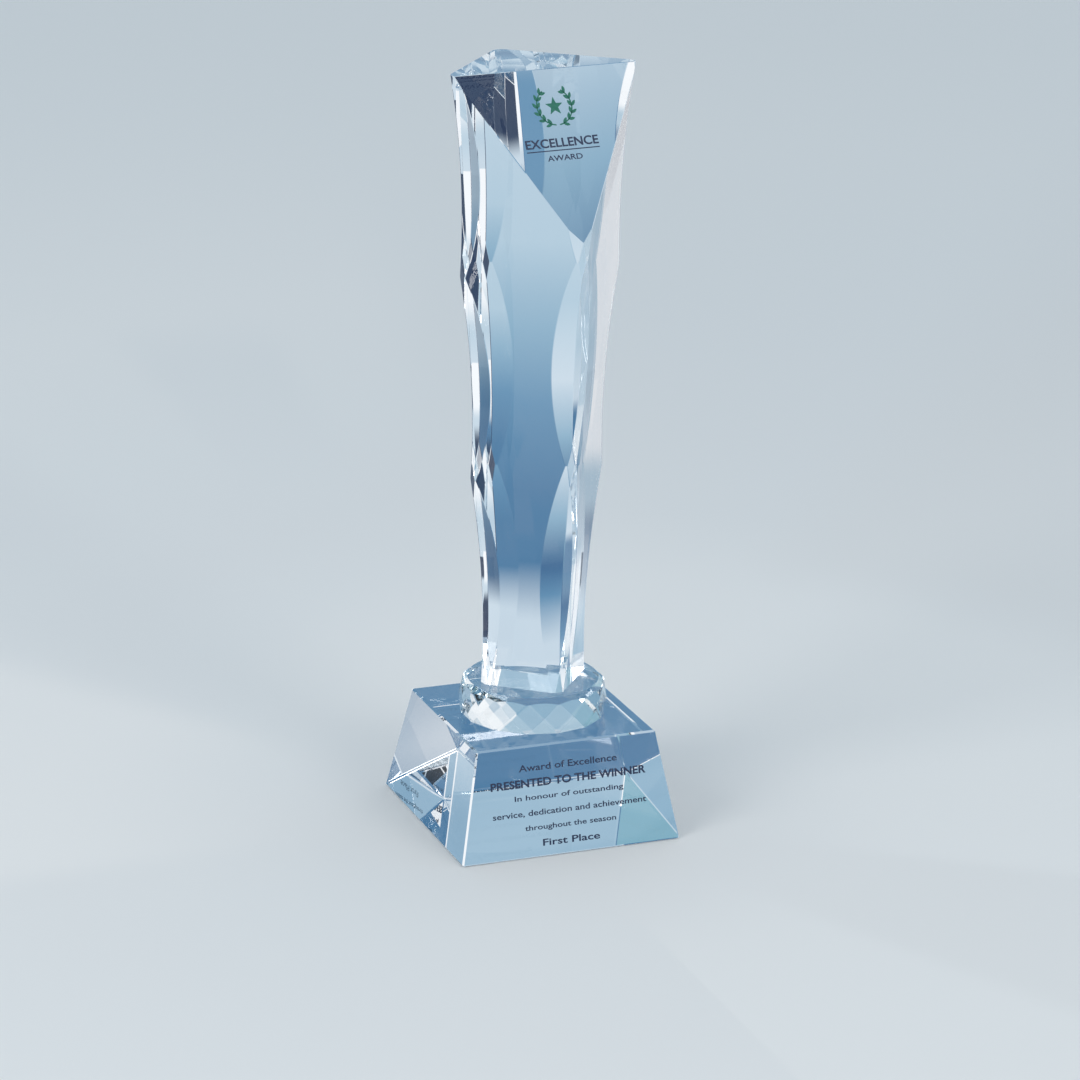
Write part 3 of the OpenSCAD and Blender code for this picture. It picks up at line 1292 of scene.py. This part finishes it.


# Blues from the lightest down, three greener or greyer tones, the floor's and the backdrop's.
# The glowing card paints the crystal's reflections in the blues and in SHADE; the light round
# the award takes blues, TEAL and PEARL.
WHITE = paint(250, 252, 255)
PALE = paint(204, 219, 231)
MIST = paint(180, 204, 220)
SKY = paint(140, 176, 200)
STEEL = paint(100, 144, 178)
SLATE = paint(78, 122, 160)
DEEP = paint(64, 104, 145)
NAVY = paint(29, 48, 80)
TEAL = paint(134, 178, 196)
SHADE = paint(138, 156, 177)
PEARL = paint(182, 194, 206)
FLOOR = paint(237, 233, 228)
BACKDROP = paint(186, 198, 207)


def smooth_step(
    tree: bpy.types.NodeTree, value: bpy.types.NodeSocket, start: float, end: float
) -> bpy.types.NodeSocket:
    """Adds a soft step that goes from 0 at start to 1 at end.

    Args:
        tree: The tree that gets the node.
        value: The number that is tested.
        start: Where the step begins.
        end: Where the step ends.

    Returns:
        The node's output socket.
    """
    node = add_node(tree, "ShaderNodeMapRange", interpolation_type="SMOOTHSTEP")
    tree.links.new(value, node.inputs["Value"])
    node.inputs["From Min"].default_value = start
    node.inputs["From Max"].default_value = end
    return node.outputs[0]


def color_ramp(
    tree: bpy.types.NodeTree, value: bpy.types.NodeSocket, span: float, stops: Stops
) -> bpy.types.NodeSocket:
    """Adds a colour ramp.

    Args:
        tree: The tree that gets the node.
        value: The number that is looked up.
        span: The number at the ramp's far end.
        stops: Pairs of a number and its colour.

    Returns:
        The colour.
    """
    node = add_node(tree, "ShaderNodeValToRGB")
    ramp = node.color_ramp
    ramp.elements.remove(ramp.elements[1])
    ramp.elements[0].position = stops[0][0] / span
    ramp.elements[0].color = stops[0][1]
    for position, color in stops[1:]:
        ramp.elements.new(position / span).color = color
    tree.links.new(math_node(tree, "DIVIDE", value, span), node.inputs[0])
    return node.outputs["Color"]


def blend(
    tree: bpy.types.NodeTree,
    share: bpy.types.NodeSocket,
    under: bpy.types.NodeSocket,
    over: bpy.types.NodeSocket | Color,
) -> bpy.types.NodeSocket:
    """Lays one colour over another.

    Args:
        tree: The tree that gets the node.
        share: How much of the upper colour shows.
        under: The colour below.
        over: The upper colour, plain or a socket.

    Returns:
        The mixed colour.
    """
    node = add_node(tree, "ShaderNodeMix", data_type="RGBA")
    if isinstance(over, bpy.types.NodeSocket):
        tree.links.new(over, node.inputs["B"])
    else:
        node.inputs["B"].default_value = over
    tree.links.new(share, node.inputs["Factor"])
    tree.links.new(under, node.inputs["A"])
    return node.outputs["Result"]


@dataclass(frozen=True)
class Patch:
    """A patch of one tone with soft edges. On the card it is a painted reflection; in the world it is
    part of the light round the award.

    Directions are headings in degrees: 0 is straight behind the award, 90 is to its right, and
    180 is straight in front of it. The reach is metres from the award on the card, and degrees
    above the horizon in the light round it. The patch is full within half of its heading and
    gone soft degrees further out, and it fades in at start and out at end. Left out, start and
    end lie past the card's middle and its rim.
    """

    tone: Color
    heading: float
    half: float
    soft: float
    fade: float
    start: float = -1.0
    end: float = 9.0

    def over(
        self,
        tree: bpy.types.NodeTree,
        color: bpy.types.NodeSocket,
        heading: bpy.types.NodeSocket,
        reach: bpy.types.NodeSocket,
    ) -> bpy.types.NodeSocket:
        """Lays the patch over a colour.

        Args:
            tree: The tree that gets the nodes.
            color: The colour below.
            heading: The heading of the point or direction that is coloured.
            reach: Its reach.

        Returns:
            The mixed colour.
        """
        off = math_node(tree, "ABSOLUTE", math_node(tree, "SUBTRACT", heading, self.heading))
        share = smooth_step(tree, off, self.half + self.soft, self.half)
        starts = smooth_step(tree, reach, self.start - self.fade, self.start + self.fade)
        ends = smooth_step(tree, reach, self.end + self.fade, self.end - self.fade)
        for side in (starts, ends):
            share = math_node(tree, "MULTIPLY", share, side)
        return blend(tree, share, color, self.tone)


@dataclass(frozen=True)
class Softbox:
    """One large soft light: its heading as in Patch, height, side length and power in watts."""

    name: str
    heading: float
    height: float
    size: float
    power: float


@dataclass
class Studio:
    """A pale floor, soft light all round, a glowing card of painted reflections that only the crystal
    sees, the camera.

    Headings and reaches are as in Patch. The card glows, though it is no lamp, and paints the
    reflections and refractions that the crystal shows; it is pale with a blue ring. Left of
    ring_heading the near ring comes nearer by ring_drift for each degree, as far round as
    ring_limit. The far ring takes over between the headings of right_start, and gives way between
    those of right_end.
    """

    floor_size: float = 16.0
    floor_sides: int = 96
    floor_roughness: float = 0.8
    air_gap: float = 0.2 * MM
    sensor: float = 36.0
    clip: tuple[float, float] = (0.05, 60.0)
    lens: float = 131.0
    distance: float = 1.353
    elevation: float = math.radians(18.23)
    azimuth: float = math.radians(-21.55)
    roll: float = math.radians(1.09)
    target: tuple[float, float, float] = (0.00174, 0.0, 0.10028)
    light_path: int = 24
    glow: float = 1.02
    card_reach: float = 3.0
    ring_heading: float = 12.0
    ring_drift: float = 0.0035
    ring_limit: float = -40.0
    right_start: tuple[float, float] = (13.0, 19.0)
    right_end: tuple[float, float] = (150.0, 140.0)
    # Painted reflections: the blue rings that the glowing card shows in the crystal.
    near_ring: Stops = (
        (0.2, PALE), (0.29, STEEL), (0.36, DEEP), (0.5, SKY), (0.7, PALE), (1.2, MIST), (3.0, PALE)
    )
    far_ring: Stops = (
        (0.26, PALE), (0.35, SLATE), (0.48, SLATE), (0.66, STEEL), (0.85, SKY), (1.1, MIST), (3.0, PALE)
    )
    # Painted reflections on the card: the navy patches are dark sheets that stand in for dark
    # surroundings, the white patches are painted highlights, and the others paint blue and grey tones
    # seen in the crystal.
    painted_reflection_patches: tuple[Patch, ...] = (
        Patch(STEEL, heading=6.0, half=2.5, soft=2.0, fade=0.07, start=0.37, end=0.64),
        # Painted shadow under the award: slate all round, out to 0.1 m, seen through the crystal.
        Patch(SLATE, heading=0.0, half=180.0, soft=1.0, fade=0.035, end=0.1),
        Patch(WHITE, heading=148.0, half=10.0, soft=6.0, fade=0.1, start=0.6),
        Patch(NAVY, heading=140.0, half=12.0, soft=4.0, fade=0.07, start=0.1, end=0.4),
        Patch(SLATE, heading=-18.0, half=6.0, soft=6.0, fade=0.05, start=0.34, end=0.56),
        Patch(SHADE, heading=-120.0, half=24.0, soft=8.0, fade=0.07, start=0.5, end=0.8),
        Patch(WHITE, heading=-120.0, half=24.0, soft=8.0, fade=0.1, start=1.05),
        Patch(WHITE, heading=-62.0, half=24.0, soft=8.0, fade=0.06, start=0.12, end=0.42),
        Patch(NAVY, heading=79.0, half=33.0, soft=10.0, fade=0.04, start=0.29),
        Patch(NAVY, heading=172.0, half=7.0, soft=2.0, fade=0.1, start=0.7),
    )
    zenith: float = 90.0
    sky: Stops = ((0.0, PALE), (10.0, MIST), (30.0, SKY), (42.0, STEEL), (55.0, PALE), (70.0, WHITE))
    sky_patches: tuple[Patch, ...] = (
        Patch(TEAL, heading=-38.0, half=20.0, soft=14.0, fade=4.0, start=6.0, end=22.0),
        Patch(WHITE, heading=160.0, half=26.0, soft=8.0, fade=5.0, start=10.0, end=30.0),
        Patch(PEARL, heading=150.0, half=24.0, soft=8.0, fade=4.0, start=35.0, end=52.0),
        Patch(WHITE, heading=-120.0, half=26.0, soft=8.0, fade=9.0, start=-10.0, end=26.0),
        Patch(WHITE, heading=56.0, half=16.0, soft=8.0, fade=5.5, start=8.0, end=30.0),
    )
    softbox_reach: float = 1.6
    softbox_aim: float = 0.13
    softboxes: tuple[Softbox, ...] = (
        Softbox("key_softbox", heading=-112.0, height=1.2, size=0.8, power=9.0),
        Softbox("fill_softbox", heading=160.0, height=1.1, size=0.6, power=4.5),
    )

    def camera(self) -> None:
        """Sets the camera up."""
        lens = bpy.data.cameras.new("camera")
        lens.lens = self.lens
        lens.sensor_width = self.sensor
        lens.clip_start, lens.clip_end = self.clip
        camera = bpy.data.objects.new("camera", lens)
        bpy.context.scene.collection.objects.link(camera)
        level = math.cos(self.elevation)
        back = Vector(
            (math.sin(self.azimuth) * level, -math.cos(self.azimuth) * level, math.sin(self.elevation))
        )
        right = Vector((0, 0, 1)).cross(back).normalized()
        rolled = Matrix.Rotation(self.roll, 3, back)
        right = rolled @ right
        up = back.cross(right)
        pose = Matrix((right, up, back)).transposed().to_4x4()
        pose.translation = Vector(self.target) + back * self.distance
        camera.matrix_world = pose
        bpy.context.scene.camera = camera

    def disc(self, name: str, z: float, material: bpy.types.Material) -> bpy.types.Object:
        """Lays a large flat disc.

        Args:
            name: The disc's name.
            z: Its height.
            material: Its material.

        Returns:
            The disc.
        """
        bm = bmesh.new()
        radius = self.floor_size / 2
        bmesh.ops.create_circle(bm, cap_ends=True, segments=self.floor_sides, radius=radius)
        bmesh.ops.translate(bm, vec=(0, 0, z), verts=bm.verts)
        mesh = bpy.data.meshes.new(name)
        bm.to_mesh(mesh)
        bm.free()
        disc = link_object(mesh, name, material)
        return disc

    def floor(self) -> None:
        """Lays the plain pale floor."""
        material, tree, output = new_material("pale_floor")
        surface = add_node(tree, "ShaderNodeBsdfPrincipled")
        surface.inputs["Base Color"].default_value = FLOOR
        surface.inputs["Roughness"].default_value = self.floor_roughness
        tree.links.new(surface.outputs["BSDF"], output.inputs["Surface"])
        self.disc("floor", -self.air_gap, material)

    def card(self) -> None:
        """Lays the glowing card of painted reflections, pale with blue rings and patches, seen only in
        the crystal.
        """
        material, tree, output = new_material("painted_reflection_card")
        place = add_node(tree, "ShaderNodeTexCoord").outputs["Object"]
        split = add_node(tree, "ShaderNodeSeparateXYZ")
        tree.links.new(place, split.inputs[0])
        x, y = split.outputs["X"], split.outputs["Y"]
        heading = math_node(tree, "DEGREES", math_node(tree, "ARCTAN2", x, y))
        across = math_node(tree, "MULTIPLY", x, x)
        out = math_node(tree, "SQRT", math_node(tree, "MULTIPLY_ADD", y, y, across))
        kept = math_node(tree, "MAXIMUM", heading, self.ring_limit)
        turned = math_node(tree, "SUBTRACT", self.ring_heading, kept)
        drifted = math_node(tree, "MULTIPLY_ADD", turned, self.ring_drift, out)
        near = color_ramp(tree, drifted, self.card_reach, self.near_ring)
        far = color_ramp(tree, out, self.card_reach, self.far_ring)
        starts = smooth_step(tree, heading, *self.right_start)
        ends = smooth_step(tree, heading, *self.right_end)
        color = blend(tree, math_node(tree, "MULTIPLY", starts, ends), near, far)
        for patch in self.painted_reflection_patches:
            color = patch.over(tree, color, heading, out)
        # The card glows, though it is no lamp; its colour is painted reflection.
        lit = add_node(tree, "ShaderNodeEmission")
        lit.inputs["Strength"].default_value = self.glow
        tree.links.new(color, lit.inputs["Color"])
        tree.links.new(lit.outputs[0], output.inputs["Surface"])
        card = self.disc("painted_reflection_card", -self.air_gap / 2, material)
        # Hidden from the camera, from diffuse light and from shadows, it shows only as painted
        # reflection in the crystal.
        card.visible_camera = False
        card.visible_diffuse = False
        card.visible_shadow = False

    def surroundings(self) -> None:
        """Paints the soft light round the award."""
        world = bpy.data.worlds.new("studio")
        bpy.context.scene.world = world
        world.use_nodes = True
        tree = world.node_tree
        tree.nodes.clear()
        place = add_node(tree, "ShaderNodeTexCoord")
        split = add_node(tree, "ShaderNodeSeparateXYZ")
        tree.links.new(place.outputs["Generated"], split.inputs[0])
        rise = math_node(tree, "DEGREES", math_node(tree, "ARCSINE", split.outputs["Z"]))
        rise = math_node(tree, "MAXIMUM", rise, 0.0)
        heading = math_node(tree, "ARCTAN2", split.outputs["X"], split.outputs["Y"])
        heading = math_node(tree, "DEGREES", heading)
        color = color_ramp(tree, rise, self.zenith, self.sky)
        for patch in self.sky_patches:
            color = patch.over(tree, color, heading, rise)
        seen = add_node(tree, "ShaderNodeBackground")
        tree.links.new(color, seen.inputs["Color"])
        seen.inputs["Strength"].default_value = self.glow
        plain = add_node(tree, "ShaderNodeBackground")
        plain.inputs["Color"].default_value = BACKDROP
        path = add_node(tree, "ShaderNodeLightPath")
        mix = add_node(tree, "ShaderNodeMixShader")
        tree.links.new(path.outputs["Is Camera Ray"], mix.inputs[0])
        tree.links.new(seen.outputs[0], mix.inputs[1])
        tree.links.new(plain.outputs[0], mix.inputs[2])
        output = add_node(tree, "ShaderNodeOutputWorld")
        tree.links.new(mix.outputs[0], output.inputs["Surface"])

    def hang(self, box: Softbox) -> None:
        """Hangs one softbox so that it faces the award.

        Args:
            box: The softbox.
        """
        lamp = bpy.data.lights.new(box.name, "AREA")
        lamp.shape = "SQUARE"
        lamp.size = box.size
        lamp.energy = box.power
        light = bpy.data.objects.new(box.name, lamp)
        bpy.context.scene.collection.objects.link(light)
        turn = math.radians(box.heading)
        reach = self.softbox_reach
        place = Vector((math.sin(turn) * reach, math.cos(turn) * reach, box.height))
        aim = (place - Vector((0, 0, self.softbox_aim))).to_track_quat("Z", "Y")
        light.matrix_world = Matrix.Translation(place) @ aim.to_matrix().to_4x4()

    def build(self) -> None:
        """Sets up the camera, the floor, the card and the light."""
        scene = bpy.context.scene
        scene.view_settings.view_transform = "Standard"
        scene.cycles.max_bounces = self.light_path
        scene.cycles.glossy_bounces = self.light_path
        scene.cycles.transmission_bounces = self.light_path
        scene.cycles.transparent_max_bounces = self.light_path
        self.camera()
        self.floor()
        self.card()
        self.surroundings()
        for box in self.softboxes:
            self.hang(box)


def main() -> None:
    """Builds the award from the base up, then its colour fill, then the studio."""
    logging.basicConfig(level=logging.INFO, format="%(message)s")
    crystal, bond = CRYSTAL.material(), BOND.material()
    navy, green = NAVY_FILL.material(), GREEN_FILL.material()
    base = BaseBlock(crystal, bond)
    column = Column(crystal, bond)
    outline = column.bond_outline()
    base.build()
    GemDisc(crystal, bond).build(outline)
    column.build()
    BondFilms(bond).build(outline)
    Inscription(navy).build(base.face_frame())
    Emblem(green, navy).build(column.facet_frame())
    Studio().build()


if __name__ == "__main__":
    main()
